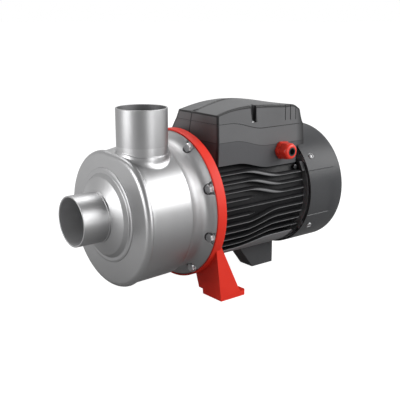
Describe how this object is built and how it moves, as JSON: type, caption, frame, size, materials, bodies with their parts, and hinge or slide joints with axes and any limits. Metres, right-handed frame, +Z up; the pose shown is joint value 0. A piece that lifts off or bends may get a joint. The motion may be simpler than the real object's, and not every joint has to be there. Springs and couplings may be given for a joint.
{
  "type": "centrifugal pump",
  "caption": "End-suction centrifugal pump with a pressed stainless casing, a red cast bracket on two legs and a finned electric motor with a grey terminal box",
  "frame": {"origin": "On the floor, midway between the two foot bolt holes of the bracket", "axes": "+X along the shaft from the suction mouth to the fan, +Z up towards the discharge mouth, -Y the side of the cable gland"},
  "size_m": [0.374, 0.1874, 0.2374],
  "materials": {
    "stainless": "satin",
    "steel": "satin",
    "rubber": "matte",
    "seal_ceramic": "gloss",
    "seal_carbon": "matte",
    "red_casting": "satin",
    "core_steel": "matte",
    "cast_aluminium": "matte",
    "motor_paint": "satin",
    "varnished_copper": "gloss",
    "black_plastic": "matte",
    "grey_plastic": "satin",
    "white_plastic": "satin",
    "brass": "satin",
    "red_plastic": "satin"
  },
  "bodies": {
    "pump_body": {"suction_stub": "stainless", "suction_cone": "stainless", "volute_casing": "stainless", "discharge_stub": "stainless", "casing_flange": "stainless", "flange_screws": "steel", "flange_washers": "steel", "casing_o_ring": "rubber", "seal_plate": "stainless", "inlet_ring": "stainless", "seal_seat": "seal_ceramic", "bracket": "red_casting", "bracket_screws": "steel", "front_bearing_outer": "steel", "rear_bearing_outer": "steel", "wave_washer": "steel", "motor_housing": "motor_paint", "stator_core": "core_steel", "stator_windings": "varnished_copper", "rear_shield": "cast_aluminium", "shield_screws": "steel", "fan_cover": "motor_paint", "cover_screws": "steel", "motor_foot": "motor_paint", "foot_screws": "steel", "earth_screw": "steel", "terminal_base": "grey_plastic", "terminal_gasket": "rubber", "terminal_lid": "grey_plastic", "lid_screws": "steel", "base_screws": "steel", "capacitor": "white_plastic", "terminal_block": "black_plastic", "terminal_studs": "brass", "gland_body": "red_plastic", "gland_nut": "red_plastic", "gland_seal": "rubber", "gland_locknut": "red_plastic"},
    "rotor": {"shaft": "steel", "impeller": "stainless", "impeller_key": "steel", "impeller_washer": "steel", "impeller_nut": "steel", "seal_face": "seal_carbon", "seal_bellows": "rubber", "water_slinger": "rubber", "front_bearing_inner": "steel", "rear_bearing_inner": "steel", "rotor_core": "core_steel", "rotor_end_rings": "cast_aluminium", "fan": "black_plastic", "fan_clip": "steel"},
    "front_cage": {"front_bearing_balls": "steel"},
    "rear_cage": {"rear_bearing_balls": "steel"}
  },
  "joints": [
    {"name": "rotor_spin", "type": "hinge", "parent": "pump_body", "child": "rotor", "pos_m": [0, 0, 0.11], "axis": [1, 0, 0], "continuous": true},
    {"name": "front_cage_spin", "type": "hinge", "parent": "pump_body", "child": "front_cage", "pos_m": [-0.0128, 0, 0.11], "axis": [1, 0, 0], "continuous": true},
    {"name": "rear_cage_spin", "type": "hinge", "parent": "pump_body", "child": "rear_cage", "pos_m": [0.1287, 0, 0.11], "axis": [1, 0, 0], "continuous": true}
  ],
  "couplings": [
    {"joint": "front_cage_spin", "follows": "rotor_spin", "ratio": 0.3816},
    {"joint": "rear_cage_spin", "follows": "rotor_spin", "ratio": 0.381}
  ]
}
